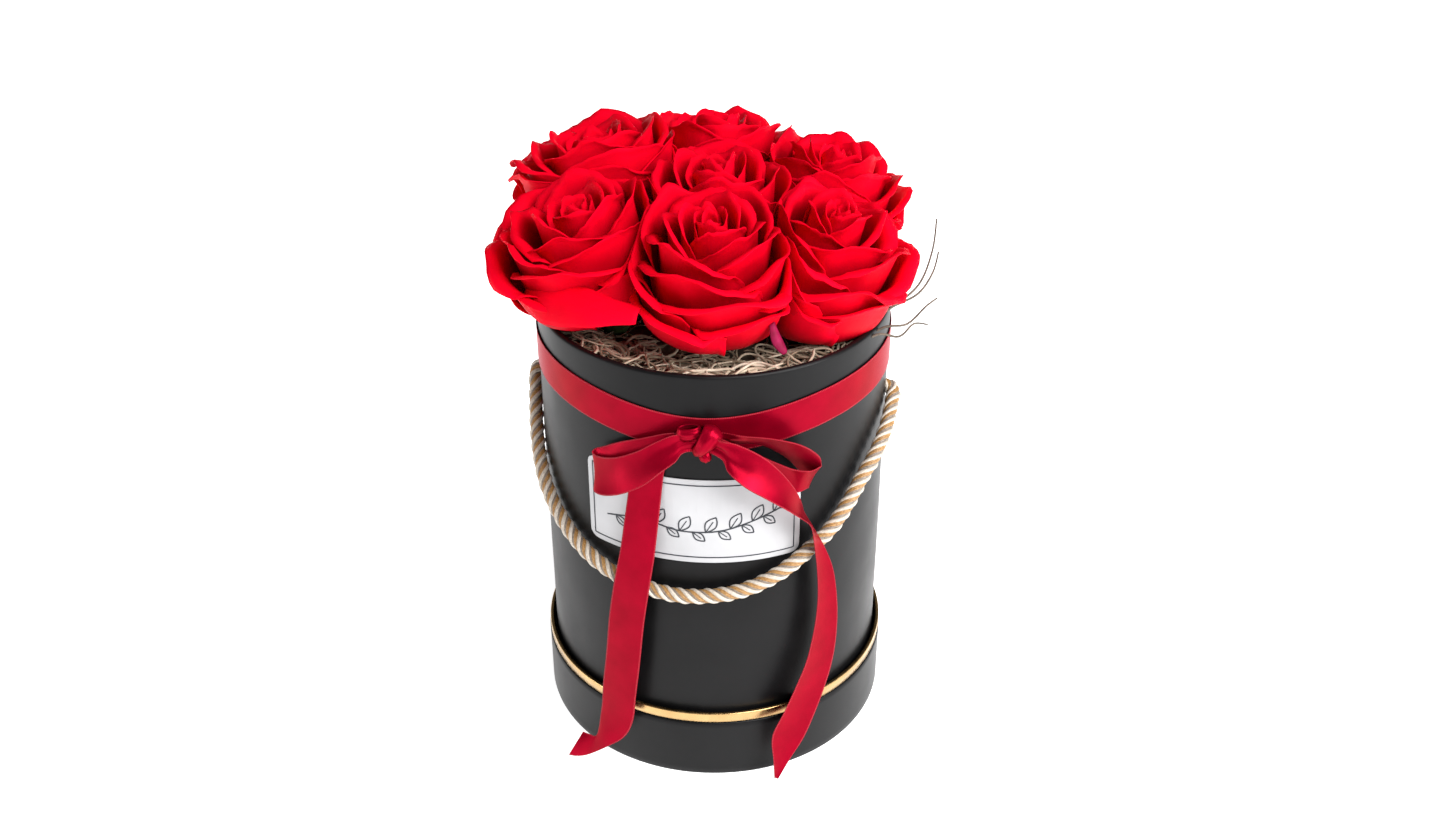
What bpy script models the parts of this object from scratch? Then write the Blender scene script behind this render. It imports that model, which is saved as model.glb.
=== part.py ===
"""Flower box: seven roses on moss in a round black hat box that stands in its own upturned lid.

The origin is the centre of the lid's underside, +Z is up and the label faces -Y. Places round the
box are given as (angle, radius, height): degrees from the front (-Y) towards +X, and millimetres.
"""

import math

import bmesh
import bpy
from mathutils import Vector

MM = 0.001
GAP = 0.3  # clearance between touching pieces
SIDES = 72  # facets round the box and the lid
CURVE_SAMPLES = 8  # steps between two places of the rope's route
BALL_SEGMENTS = 14  # round a knot
BALL_RINGS = 8  # up a knot
MERGE = 0.00001  # metres
SHARP_ANGLE = 35  # degrees

# Box and lid
BOX_RADIUS = 75.0
BOX_WALL = 2.8
BOX_TOP = 205.4
LID_RADIUS = 78.3
LID_WALL = 2.1
LID_BOARD = 2.5
LID_WALL_TOP = 30.2
GOLD_RADIUS = 78.0
GOLD_WALL = 1.7
GOLD_TOP = 35.3
FLOOR_BOARD = 2.5
EDGE_ROUND = 0.8

# Label
LABEL_WIDTH = 88.0  # straight across, 94 round the curve
LABEL_HEIGHT = 41.0
LABEL_MIDDLE = 137.0
LABEL_CORNER = 3.5
LABEL_THICKNESS = 0.35
LABEL_CORNER_STEPS = 4

# Inside
FOAM_RADIUS = 70.5
FOAM_TOP = 152.0
MOSS_NECK = 53.0  # the moss is narrower where the rope's knots sit
MOSS_NECK_TOP = 176.5
MOSS_SHOULDER = 178.3
MOSS_RIM = 196.0
# top of the bed, radius and height from the middle out to near the wall
MOSS_PROFILE = ((0.0, 190.0), (50.0, 190.0), (57.0, 195.0), (64.0, 198.5), (70.3, 198.5))

# Roses: name, angle, reach and height of the middle of the bud, lean outwards in degrees
ROSES = (
    ("centre", 97.0, 2.6, 264.0, 0.0),
    ("front", 6.8, 42.5, 260.0, 12.0),
    ("front_right", 71.3, 57.9, 255.0, 14.0),
    ("back_right", 125.9, 60.6, 255.0, 14.0),
    ("back", 182.5, 56.0, 259.0, 14.0),
    ("back_left", 243.8, 57.7, 260.0, 14.0),
    ("front_left", -61.2, 57.6, 255.0, 14.0),
)
HEAD_HEIGHT = 56.0
# radius and height up the rose's own axis, top to bottom
HEAD_PROFILE = (
    (12.0, 55.0),
    (22.0, 52.0),
    (30.0, 46.5),
    (35.0, 39.0),
    (36.0, 32.0),
    (31.0, 20.0),
    (22.0, 8.0),
    (11.0, 1.0),
)
HEAD_SIDES = 28
PRESSED_AT = 0.6  # neighbours meet at this share of their height
CALYX_RADIUS = 8.5
CALYX_HEIGHT = 8.0
CALYX_SIDES = 16
# shares of the calyx's radius and height, from its top down
CALYX_PROFILE = ((1.0, 0.0), (0.85, 0.5), (0.4, 1.0))
STEM_RADIUS = 2.2
STEM_LENGTH = 84.0
STEM_SIDES = 12
STEM_HOLE = 2.6
STEM_HOLE_EXTRA = 2.0  # the hole is longer than the stem, half of this at each end

# Ribbon: 16 mm satin
RIBBON_WIDTH = 16.0
RIBBON_THICKNESS = 0.4
BAND_RADIUS = 75.35
BAND_MIDDLE = 185.0
BAND_DIP = 6.0
BOW_ANGLE = 4.8
BAND_DIP_SPREAD = 22.0
KNOT_PLACE = (BOW_ANGLE, 80.6, 179.0)
KNOT_SIZE = (12.0, 8.0, 13.0)

# Each ribbon is a row of (upper or left edge, lower or right edge) places
LOOP_LEFT = (
    ((-0.8, 81.0, 182.5), (-0.6, 83.0, 175.0)),
    ((-4.0, 82.0, 182.0), (-2.5, 85.5, 172.0)),
    ((-8.5, 83.0, 178.5), (-6.0, 88.0, 168.0)),
    ((-13.5, 84.0, 173.5), (-10.5, 89.5, 161.5)),
    ((-20.0, 83.8, 168.0), (-16.5, 90.0, 155.5)),
    ((-26.5, 81.8, 164.0), (-22.0, 89.0, 151.5)),
    ((-30.4, 79.8, 163.0), (-26.0, 87.0, 150.0)),
    ((-30.2, 78.0, 164.0), (-27.2, 84.0, 150.5)),
    ((-27.5, 77.4, 166.0), (-25.5, 81.5, 151.5)),
    ((-21.5, 77.4, 171.0), (-20.0, 80.3, 156.0)),
    ((-14.0, 77.8, 175.8), (-13.0, 80.0, 162.0)),
    ((-6.0, 78.4, 180.5), (-5.5, 80.0, 169.0)),
    ((-0.6, 79.2, 182.0), (-0.4, 79.9, 175.0)),
)
LOOP_RIGHT = (
    ((10.0, 79.0, 182.5), (9.8, 78.0, 176.0)),
    ((16.0, 84.5, 183.5), (13.5, 76.8, 173.5)),
    ((22.8, 86.8, 182.4), (20.8, 76.6, 171.8)),
    ((31.0, 86.5, 176.4), (28.3, 77.2, 163.9)),
    ((36.8, 85.5, 168.3), (34.2, 77.0, 155.4)),
    ((38.2, 84.8, 163.3), (36.8, 78.5, 150.0)),
    ((37.0, 86.0, 163.6), (35.2, 81.0, 151.0)),
    ((34.0, 86.4, 165.8), (32.0, 81.2, 153.0)),
    ((30.0, 86.6, 168.8), (28.0, 81.0, 156.6)),
    ((25.5, 86.0, 172.3), (23.5, 79.8, 161.7)),
    ((18.0, 84.0, 177.5), (16.5, 79.4, 168.0)),
    ((10.2, 81.6, 181.0), (10.0, 80.2, 175.5)),
)
TAIL_LEFT = (
    ((-0.8, 77.0, 178.5), (-0.6, 77.0, 172.0)),
    ((-10.5, 76.6, 175.5), (-4.5, 76.6, 166.0)),
    ((-16.5, 76.5, 168.0), (-7.0, 76.5, 162.0)),
    ((-18.2, 77.0, 155.0), (-7.9, 77.0, 153.5)),
    ((-19.2, 79.5, 140.0), (-8.6, 79.2, 140.0)),
    ((-20.3, 82.2, 122.0), (-9.6, 82.0, 122.0)),
    ((-22.1, 83.7, 106.0), (-11.0, 83.6, 106.0)),
    ((-24.3, 84.0, 86.0), (-13.0, 83.8, 86.0)),
    ((-26.1, 84.0, 64.0), (-14.7, 83.8, 64.0)),
    ((-27.8, 84.0, 46.0), (-16.4, 84.0, 44.0)),
    ((-28.6, 84.0, 34.0), (-17.5, 84.5, 30.0)),
    ((-29.3, 84.3, 26.0), (-20.2, 85.6, 20.0)),
    ((-29.8, 85.0, 18.5), (-25.5, 87.6, 12.0)),
    ((-30.5, 86.2, 13.4), (-31.8, 88.8, 3.0)),
    ((-33.0, 87.2, 13.0), (-34.8, 91.8, 1.0)),
    ((-34.9, 87.7, 12.8), (-37.1, 94.0, 0.8)),
)
TAIL_RIGHT = (
    ((10.0, 84.6, 182.0), (10.0, 84.8, 173.5)),
    ((14.0, 85.8, 180.5), (11.5, 88.0, 169.0)),
    ((20.6, 87.0, 174.0), (15.5, 90.0, 163.0)),
    ((25.5, 87.0, 166.0), (20.8, 90.5, 157.0)),
    ((29.5, 86.0, 157.0), (25.8, 90.8, 151.0)),
    ((32.5, 83.2, 148.0), (29.4, 91.0, 146.0)),
    ((35.3, 79.5, 138.5), (31.8, 91.2, 142.5)),
    ((37.8, 79.6, 131.5), (33.8, 90.0, 138.0)),
    ((40.7, 83.6, 121.0), (35.8, 86.5, 129.0)),
    ((43.6, 84.0, 110.0), (37.4, 85.5, 116.0)),
    ((45.3, 84.2, 98.5), (38.4, 85.0, 103.5)),
    ((46.5, 84.2, 82.5), (38.7, 84.6, 91.5)),
    ((46.3, 84.2, 66.0), (37.8, 84.6, 78.0)),
    ((44.8, 84.2, 53.0), (35.6, 84.8, 63.0)),
    ((42.2, 84.5, 42.0), (32.0, 85.2, 50.0)),
    ((39.0, 85.3, 32.0), (28.3, 86.0, 38.5)),
    ((35.0, 86.2, 20.6), (24.6, 87.0, 27.0)),
    ((30.0, 87.6, 11.4), (24.9, 88.0, 13.0)),
    ((26.2, 88.9, 2.6), (25.1, 88.9, 3.6)),
)
RIBBON_SAMPLES = 3  # strips between two rows

# Rope handle: it hangs in front of the box between two punched holes
ROPE_DIAMETER = 6.2
ROPE_HOLE_DIAMETER = 10.0
ROPE_HOLE_HEIGHT = 163.0
ROPE_HOLE_SIDES = 24
ROPE_SPACING = 6.5
ROPE_ROUTE = (
    (-91.0, 70.7, 164.4),
    (-90.0, 73.6, 163.0),
    (-89.6, 75.6, 162.2),
    (-88.8, 77.7, 161.1),
    (-87.5, 78.9, 158.7),
    (-85.4, 79.0, 155.4),
    (-82.0, 78.8, 149.6),
    (-74.0, 78.6, 138.2),
    (-64.6, 78.6, 129.6),
    (-58.4, 78.6, 123.6),
    (-50.0, 78.6, 117.4),
    (-40.5, 78.8, 111.8),
    (-31.0, 79.3, 107.4),
    (-20.0, 79.3, 103.6),
    (-8.0, 79.3, 101.7),
    (1.0, 79.3, 101.4),
    (11.0, 79.3, 102.8),
    (19.0, 79.3, 105.4),
    (27.0, 79.3, 109.8),
    (34.0, 79.3, 115.2),
    (45.0, 79.3, 124.0),
    (52.0, 79.0, 131.6),
    (59.0, 78.8, 140.2),
    (66.0, 78.8, 147.4),
    (74.0, 78.7, 153.6),
    (80.0, 78.7, 157.4),
    (84.0, 79.0, 159.8),
    (87.0, 78.6, 161.4),
    (88.8, 77.3, 162.3),
    (89.6, 75.4, 162.7),
    (90.0, 73.6, 163.0),
    (91.4, 70.7, 163.8),
)
KNOT_RADIUS = 6.6

SCENE = "flower_box"


def place(angle, radius, height):
    """A point round the box, in metres."""
    turn = math.radians(angle)
    return Vector((radius * math.sin(turn), -radius * math.cos(turn), height)) * MM


def collection(name):
    made = bpy.data.collections.new(name)
    bpy.context.scene.collection.children.link(made)
    return made


def material(name, colour, roughness, metallic=0.0):
    made = bpy.data.materials.new(name)
    made.use_nodes = True
    shader = made.node_tree.nodes["Principled BSDF"]
    shader.inputs["Base Color"].default_value = (*colour, 1.0)
    shader.inputs["Roughness"].default_value = roughness
    shader.inputs["Metallic"].default_value = metallic
    made.diffuse_color = (*colour, 1.0)
    return made


def add_object(name, mesh, finish, group):
    made = bpy.data.objects.new(name, mesh)
    made.data.materials.append(finish)
    group.objects.link(made)
    return made


def smooth(mesh):
    mesh.shade_smooth()
    mesh.set_sharp_from_angle(angle=math.radians(SHARP_ANGLE))


def turned(name, profile, finish, group, sides=SIDES, ring=False):
    """A profile of (radius, height) points, top to bottom on its outer side, turned round Z."""
    mesh = bpy.data.meshes.new(name)
    points = [(radius * MM, 0.0, height * MM) for radius, height in profile]
    edges = [(i, i + 1) for i in range(len(points) - 1)]
    if ring:
        edges.append((len(points) - 1, 0))
    mesh.from_pydata(points, edges, [])
    made = add_object(name, mesh, finish, group)
    screw = made.modifiers.new("Turn", "SCREW")
    screw.axis = "Z"
    screw.angle = math.tau
    screw.steps = sides
    screw.render_steps = sides
    screw.use_merge_vertices = True
    screw.merge_threshold = MERGE
    screw.use_smooth_shade = True
    return made


def baked(made):
    """The object's own mesh, with its modifiers or its curve made real."""
    bpy.context.view_layer.update()
    graph = bpy.context.evaluated_depsgraph_get()
    mesh = bpy.data.meshes.new_from_object(made.evaluated_get(graph))
    made.modifiers.clear()
    made.data = mesh
    return made


def cylinder(name, radius, length, sides, finish, group):
    """A cylinder that runs down from the origin along Z."""
    mesh = bpy.data.meshes.new(name)
    form = bmesh.new()
    bmesh.ops.create_cone(
        form,
        cap_ends=True,
        segments=sides,
        radius1=radius * MM,
        radius2=radius * MM,
        depth=length * MM,
    )
    bmesh.ops.translate(form, verts=form.verts, vec=(0.0, 0.0, -length / 2 * MM))
    form.to_mesh(mesh)
    form.free()
    smooth(mesh)
    return add_object(name, mesh, finish, group)


def hide_cutter(cutter):
    cutter.hide_render = True
    cutter.display_type = "WIRE"


def cut(target, cutter):
    boolean = target.modifiers.new("Cut " + cutter.name, "BOOLEAN")
    boolean.operation = "DIFFERENCE"
    boolean.solver = "EXACT"
    boolean.object = cutter


def through(values, samples):
    """A smooth curve through the points, with this many steps between two of them."""
    found = []
    last = len(values) - 1
    for i in range(last):
        before, here = values[max(i - 1, 0)], values[i]
        there, after = values[i + 1], values[min(i + 2, last)]
        for step in range(samples):
            t = step / samples
            found.append(
                0.5
                * (
                    2 * here
                    + (there - before) * t
                    + (2 * before - 5 * here + 4 * there - after) * t**2
                    + (3 * here - before - 3 * there + after) * t**3
                )
            )
    found.append(values[last])
    return found


def spaced(points, spacing):
    """Points along the line, evenly apart and about this far from each other."""
    along = [0.0]
    for a, b in zip(points, points[1:]):
        along.append(along[-1] + (b - a).length)
    count = round(along[-1] / (spacing * MM))
    found = []
    at = 0
    for step in range(count + 1):
        want = along[-1] * step / count
        while at < len(points) - 2 and along[at + 1] < want:
            at += 1
        share = (want - along[at]) / (along[at + 1] - along[at])
        found.append(points[at].lerp(points[at + 1], share))
    return found


def make_lid(group, black, gold):
    """The lid: a board, a wall round it and the gold lip. The box stands in it."""
    inner = LID_RADIUS - LID_WALL
    board_radius = inner - GAP
    board = ((0.0, LID_BOARD), (board_radius, LID_BOARD), (board_radius, 0.0), (0.0, 0.0))
    turned("lid_board", board, black, group)
    wall = (
        (inner, LID_WALL_TOP),
        (LID_RADIUS, LID_WALL_TOP),
        (LID_RADIUS, EDGE_ROUND),
        (LID_RADIUS - EDGE_ROUND, 0.0),
        (inner, 0.0),
    )
    turned("lid_wall", wall, black, group, ring=True)
    gold_inner = GOLD_RADIUS - GOLD_WALL
    lip = (
        (gold_inner, GOLD_TOP),
        (GOLD_RADIUS - GAP, GOLD_TOP),
        (GOLD_RADIUS, GOLD_TOP - GAP),
        (GOLD_RADIUS, LID_WALL_TOP + GAP),
        (gold_inner, LID_WALL_TOP + GAP),
    )
    turned("lid_gold_rim", lip, gold, group, ring=True)


def make_box(group, cutters, black):
    """The tube with its rolled rim and the two rope holes, and the floor board in it."""
    inner = BOX_RADIUS - BOX_WALL
    bottom = LID_BOARD + GAP
    half = BOX_WALL / 2
    rim = [
        (
            BOX_RADIUS - half - half * math.cos(math.radians(turn)),
            BOX_TOP - half + half * math.sin(math.radians(turn)),
        )
        for turn in range(0, 181, 45)
    ]
    tube = turned("box_tube", (*rim, (BOX_RADIUS, bottom), (inner, bottom)), black, group, ring=True)
    length = 4 * BOX_RADIUS
    bore = cylinder(
        "rope_hole_cutter", ROPE_HOLE_DIAMETER / 2, length, ROPE_HOLE_SIDES, black, cutters
    )
    bore.rotation_euler = (0.0, math.radians(90), 0.0)
    bore.location = (length / 2 * MM, 0.0, ROPE_HOLE_HEIGHT * MM)
    hide_cutter(bore)
    cut(tube, bore)
    low = bottom + GAP
    radius = inner - GAP
    floor = ((0.0, low + FLOOR_BOARD), (radius, low + FLOOR_BOARD), (radius, low), (0.0, low))
    turned("box_floor", floor, black, group)


def make_label(group, cutters, paper):
    """A curved plate with round corners: a thin ring cut down to a rounded block."""
    inner = BOX_RADIUS + GAP
    outer = inner + LABEL_THICKNESS
    low = LABEL_MIDDLE - LABEL_HEIGHT
    high = LABEL_MIDDLE + LABEL_HEIGHT
    ring = ((inner, high), (outer, high), (outer, low), (inner, low))
    label = turned("label", ring, paper, group, sides=2 * SIDES, ring=True)
    mesh = bpy.data.meshes.new("label_cutter")
    form = bmesh.new()
    bmesh.ops.create_cube(form, size=MM)
    size = (LABEL_WIDTH, 2 * BOX_RADIUS, LABEL_HEIGHT)
    bmesh.ops.scale(form, verts=form.verts, vec=size)
    corners = [
        edge
        for edge in form.edges
        if abs((edge.verts[0].co - edge.verts[1].co).normalized().y) > 0.9
    ]
    bmesh.ops.bevel(
        form,
        geom=corners,
        offset=LABEL_CORNER * MM,
        offset_type="OFFSET",
        segments=LABEL_CORNER_STEPS,
        profile=0.5,
        affect="EDGES",
    )
    form.to_mesh(mesh)
    form.free()
    outline = add_object("label_cutter", mesh, paper, cutters)
    outline.location = (0.0, -BOX_RADIUS * MM, LABEL_MIDDLE * MM)
    hide_cutter(outline)
    boolean = label.modifiers.new("Outline", "BOOLEAN")
    boolean.operation = "INTERSECT"
    boolean.solver = "EXACT"
    boolean.object = outline


def make_filling(group, foam, moss):
    """The foam block and the bed of moss on it. Returns both, for the stem holes."""
    bottom = LID_BOARD + FLOOR_BOARD + 3 * GAP
    block = ((0.0, FOAM_TOP), (FOAM_RADIUS, FOAM_TOP), (FOAM_RADIUS, bottom), (0.0, bottom))
    rim = BOX_RADIUS - BOX_WALL - GAP
    bed = (
        *MOSS_PROFILE,
        (rim, MOSS_RIM),
        (rim, MOSS_SHOULDER),
        (MOSS_NECK, MOSS_NECK_TOP),
        (MOSS_NECK, FOAM_TOP + GAP),
        (0.0, FOAM_TOP + GAP),
    )
    return (
        turned("floral_foam", block, foam, group),
        turned("moss_bed", bed, moss, group),
    )


def rose_axis(angle, reach, height, lean):
    """(base of the head, direction up the rose's axis)."""
    tilt = math.radians(lean)
    outward = place(angle, 1.0, 0.0).normalized()
    up = outward * math.sin(tilt) + Vector((0.0, 0.0, math.cos(tilt)))
    return place(angle, reach, height) - up * HEAD_HEIGHT * MM, up


def press_flat(head, middle, other):
    """Cuts the head off where it presses on its neighbour, and closes it there."""
    normal = (other - middle).normalized()
    plane = (middle + other) / 2 - normal * GAP * MM
    form = bmesh.new()
    form.from_mesh(head.data)
    bmesh.ops.transform(form, matrix=head.matrix_world, verts=form.verts)
    geometry = [*form.verts, *form.edges, *form.faces]
    bmesh.ops.bisect_plane(
        form, geom=geometry, dist=MERGE, plane_co=plane, plane_no=normal, clear_outer=True
    )
    rims = [edge for edge in form.edges if edge.is_boundary]
    bmesh.ops.holes_fill(form, edges=rims)
    bmesh.ops.transform(form, matrix=head.matrix_world.inverted(), verts=form.verts)
    form.to_mesh(head.data)
    form.free()


def make_roses(group, cutters, filling, petal, leaf):
    """Seven roses, each a head, a calyx under it and a stem pushed into the foam."""
    axes = [rose_axis(*rose[1:]) for rose in ROSES]
    middles = [base + up * PRESSED_AT * HEAD_HEIGHT * MM for base, up in axes]
    profile = ((0.0, HEAD_HEIGHT), *HEAD_PROFILE, (0.0, 0.0))
    cup_side = [(CALYX_RADIUS * out, -GAP - CALYX_HEIGHT * down) for out, down in CALYX_PROFILE]
    calyx = ((0.0, -GAP), *cup_side, (0.0, -GAP - CALYX_HEIGHT))
    hole_length = STEM_LENGTH + STEM_HOLE_EXTRA
    widest = 2 * max(radius for radius, _ in HEAD_PROFILE) * MM
    for i, (rose, (base, up)) in enumerate(zip(ROSES, axes)):
        name = "rose_" + rose[0]
        turn = up.to_track_quat("Z", "Y").to_euler()
        head = baked(turned(name + "_head", profile, petal, group, sides=HEAD_SIDES))
        cup = turned(name + "_calyx", calyx, leaf, group, sides=CALYX_SIDES)
        stem = cylinder(name + "_stem", STEM_RADIUS, STEM_LENGTH, STEM_SIDES, leaf, group)
        hole = cylinder(name + "_hole", STEM_HOLE, hole_length, STEM_SIDES, leaf, cutters)
        for part in (head, cup, stem, hole):
            part.location = base
            part.rotation_euler = turn
        stem.location = base - up * (CALYX_HEIGHT + 2 * GAP) * MM
        hole.location = stem.location + up * STEM_HOLE_EXTRA / 2 * MM
        hide_cutter(hole)
        for block in filling:
            cut(block, hole)
        bpy.context.view_layer.update()
        for j, other in enumerate(middles):
            if j != i and (other - middles[i]).length < widest:
                press_flat(head, middles[i], other)


def band_middle(angle):
    """Height of the middle of the ribbon round the box: it dips towards the bow."""
    away = (angle - BOW_ANGLE + 180.0) % 360.0 - 180.0
    return BAND_MIDDLE - BAND_DIP * math.exp(-0.5 * (away / BAND_DIP_SPREAD) ** 2)


def add_strip(name, rows, closed, finish, group):
    """A ribbon through rows of (edge, other edge) points, made thick with Solidify."""
    mesh = bpy.data.meshes.new(name)
    form = bmesh.new()
    rails = [(form.verts.new(first), form.verts.new(second)) for first, second in rows]
    following = rails[1:] + rails[:1] if closed else rails[1:]
    for (a, b), (c, d) in zip(rails, following):
        form.faces.new((a, b, d, c))
    form.to_mesh(mesh)
    form.free()
    mesh.shade_smooth()
    made = add_object(name, mesh, finish, group)
    solid = made.modifiers.new("Thickness", "SOLIDIFY")
    solid.thickness = RIBBON_THICKNESS * MM
    solid.offset = 0.0
    return made


def make_band(group, satin):
    """The ribbon tied round the box."""
    radius = BAND_RADIUS + RIBBON_THICKNESS / 2
    rows = []
    for step in range(SIDES):
        angle = 360.0 * step / SIDES
        middle = band_middle(angle)
        high = place(angle, radius, middle + RIBBON_WIDTH / 2)
        low = place(angle, radius, middle - RIBBON_WIDTH / 2)
        rows.append((high, low))
    add_strip("ribbon_band", rows, True, satin, group)


def make_bow(group, satin):
    """The knot, two loops and two tails of the bow."""
    shapes = {
        "bow_loop_left": LOOP_LEFT,
        "bow_loop_right": LOOP_RIGHT,
        "ribbon_tail_left": TAIL_LEFT,
        "ribbon_tail_right": TAIL_RIGHT,
    }
    for name, table in shapes.items():
        edges = [through([place(*row[side]) for row in table], RIBBON_SAMPLES) for side in (0, 1)]
        add_strip(name, list(zip(*edges)), False, satin, group)
    mesh = bpy.data.meshes.new("bow_knot")
    form = bmesh.new()
    bmesh.ops.create_uvsphere(
        form, u_segments=BALL_SEGMENTS, v_segments=BALL_RINGS, radius=MM / 2
    )
    bmesh.ops.scale(form, verts=form.verts, vec=KNOT_SIZE)
    form.to_mesh(mesh)
    form.free()
    mesh.shade_smooth()
    knot = add_object("bow_knot", mesh, satin, group)
    knot.location = place(*KNOT_PLACE)
    knot.rotation_euler = (0.0, 0.0, math.radians(BOW_ANGLE))


def make_handle(group, cord):
    """The rope and the knot on each end of it, inside the box. They swing about the holes."""
    pivot = bpy.data.objects.new("handle_pivot", None)
    pivot.location = (0.0, 0.0, ROPE_HOLE_HEIGHT * MM)
    group.objects.link(pivot)
    route = through([place(*point) for point in ROPE_ROUTE], CURVE_SAMPLES)
    line = spaced(route, ROPE_SPACING)
    data = bpy.data.curves.new("handle_rope", "CURVE")
    data.dimensions = "3D"
    data.bevel_depth = ROPE_DIAMETER / 2 * MM
    data.bevel_resolution = 2
    data.use_fill_caps = True
    spline = data.splines.new("POLY")
    spline.points.add(len(line) - 1)
    for point, at in zip(spline.points, line):
        point.co = (*(at - pivot.location), 1.0)
    rope = add_object("handle_rope", data, cord, group)
    rope.parent = pivot
    ends = {"handle_knot_left": (line[0], line[1]), "handle_knot_right": (line[-1], line[-2])}
    for name, (end, inner) in ends.items():
        outward = (end - inner).normalized()
        mesh = bpy.data.meshes.new(name)
        form = bmesh.new()
        bmesh.ops.create_uvsphere(
            form, u_segments=BALL_SEGMENTS, v_segments=BALL_RINGS, radius=KNOT_RADIUS * MM
        )
        form.to_mesh(mesh)
        form.free()
        mesh.shade_smooth()
        knot = add_object(name, mesh, cord, group)
        knot.parent = pivot
        knot.location = end + outward * (KNOT_RADIUS + GAP) * MM - pivot.location


def main():
    for old in list(bpy.data.objects):
        bpy.data.objects.remove(old, do_unlink=True)
    group = collection(SCENE)
    cutters = collection("cutters")
    black = material("black_paper", (0.02, 0.02, 0.022), 0.5)
    gold = material("gold_foil", (0.83, 0.6, 0.25), 0.25, 1.0)
    paper = material("label_paper", (0.82, 0.83, 0.84), 0.5)
    foam = material("foam", (0.2, 0.3, 0.16), 0.95)
    moss = material("moss", (0.33, 0.28, 0.2), 0.95)
    petal = material("petal", (0.62, 0.005, 0.02), 0.6)
    leaf = material("leaf", (0.1, 0.2, 0.05), 0.6)
    satin = material("satin", (0.55, 0.01, 0.03), 0.35)
    cord = material("cord", (0.72, 0.6, 0.4), 0.5)
    make_lid(group, black, gold)
    make_box(group, cutters, black)
    make_label(group, cutters, paper)
    filling = make_filling(group, foam, moss)
    make_roses(group, cutters, filling, petal, leaf)
    make_band(group, satin)
    make_bow(group, satin)
    make_handle(group, cord)


main()
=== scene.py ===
"""Looks of the flower box: red roses on moss in a round black hat box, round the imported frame.

Places round the box are (angle, radius, height): degrees from the front (-Y) towards +X, and
millimetres. The ribbons' rows and the rope's route follow the CAD model's own, eased by a few
millimetres where a loop opens and where the rope passes the ribbon.
"""

import math
import random

import bmesh
import bpy
import numpy as np
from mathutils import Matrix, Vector, noise


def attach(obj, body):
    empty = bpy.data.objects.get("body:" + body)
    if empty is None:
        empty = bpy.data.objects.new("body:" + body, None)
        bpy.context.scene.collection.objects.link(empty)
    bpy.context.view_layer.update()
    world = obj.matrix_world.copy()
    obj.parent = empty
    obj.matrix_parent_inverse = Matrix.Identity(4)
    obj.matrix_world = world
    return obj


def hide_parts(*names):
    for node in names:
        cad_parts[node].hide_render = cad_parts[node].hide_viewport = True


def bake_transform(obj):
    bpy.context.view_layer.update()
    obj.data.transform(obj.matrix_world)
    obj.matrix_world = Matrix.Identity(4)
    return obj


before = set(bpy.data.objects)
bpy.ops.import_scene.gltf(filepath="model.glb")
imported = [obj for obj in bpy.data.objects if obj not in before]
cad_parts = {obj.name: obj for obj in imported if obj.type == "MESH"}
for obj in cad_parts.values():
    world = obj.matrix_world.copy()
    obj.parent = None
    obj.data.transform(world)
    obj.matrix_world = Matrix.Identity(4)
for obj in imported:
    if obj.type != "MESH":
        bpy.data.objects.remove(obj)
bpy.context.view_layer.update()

MM = 0.001

# Box and lid, as in the CAD model
BOX_RADIUS = 75.0
BOX_WALL = 2.8
BOX_TOP = 205.4
BOX_BOTTOM = 2.8
LID_RADIUS = 78.3
LID_WALL = 2.1
LID_WALL_TOP = 30.2
GOLD_RADIUS = 78.0
GOLD_WALL = 1.7
GOLD_TOP = 35.3
GAP = 0.3
ROPE_HOLE_DIAMETER = 10.0
ROPE_HOLE_HEIGHT = 163.0
LABEL_OUTSIDE = 75.65
LABEL_WIDTH = 88.0
LABEL_HEIGHT = 41.0
LABEL_MIDDLE = 137.0
INK_LIFT = 0.07  # of the print over the label
HEAD_HEIGHT = 56.0
# Petals that have bent away from a rose: an upper and a lower edge each
FRONT_LEFT_PETAL = (
    ((-56.0, 78.0, 224.0), (-49.0, 76.0, 229.0), (-40.0, 73.0, 231.5),
     (-29.0, 71.0, 232.5), (-16.0, 67.0, 230.0)),
    ((-56.0, 85.0, 220.5), (-49.0, 86.6, 217.5), (-40.0, 86.8, 219.0),
     (-29.0, 84.0, 222.5), (-15.0, 77.0, 225.0)),
)
PINK_PETAL = (
    ((29.5, 64.0, 222.0), (31.0, 66.0, 215.0), (33.0, 67.5, 209.5)),
    ((27.0, 65.0, 221.0), (27.5, 67.5, 214.0), (30.5, 69.0, 208.5)),
)
PRESSED_AT = 0.6  # share of a head's height where neighbours meet
PRESS_ROOM = 9.0  # how far before a neighbour the petals start to give way
NEIGHBOUR = 80.0  # heads farther apart than this don't meet
# Beyond about this depth from a petal's edge, its colour turns to the painted shade of the deep
# red.
PETAL_EDGE = 11.0  # depth of a petal's bright edge
MOSS_STRANDS = 900
MOSS_OUTSIDE = 71.2
MOSS_STEP = 2.0
ROUND = 240  # segments of a full turn
SATIN_COLUMNS = 13
BORDER_INSET = 2.7
BORDER_LINE, STEM_LINE, LEAF_LINE, VEIN_LINE = 0.52, 0.66, 0.56, 0.42
RIBBON_WIDTH = 16.0
BAND_RADIUS = 75.55
BAND_MIDDLE = 185.0
BAND_DIP = 6.0
BAND_DIP_SPREAD = 22.0
BOW_ANGLE = 4.8
KNOT_PLACE = (BOW_ANGLE, 80.6, 179.0)
PINCH = 3.4  # half the height of a ribbon's gathered end
PLEAT = 0.7  # height of the small pleats beside the knot
PLEAT_LENGTH = 13.0
WORLD_STRENGTH = 0.12
FLOOR_GLOW = 0.86
SUN_STRENGTH = 4.6
CAMERA_PLACE = (0.0853, -0.6193, 0.5351)
CAMERA_PITCH, CAMERA_TURN, CAMERA_LENS = 58.06, 7.5, 41.49
ROPE_LAY = 18.0  # one turn of a strand along the rope
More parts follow.
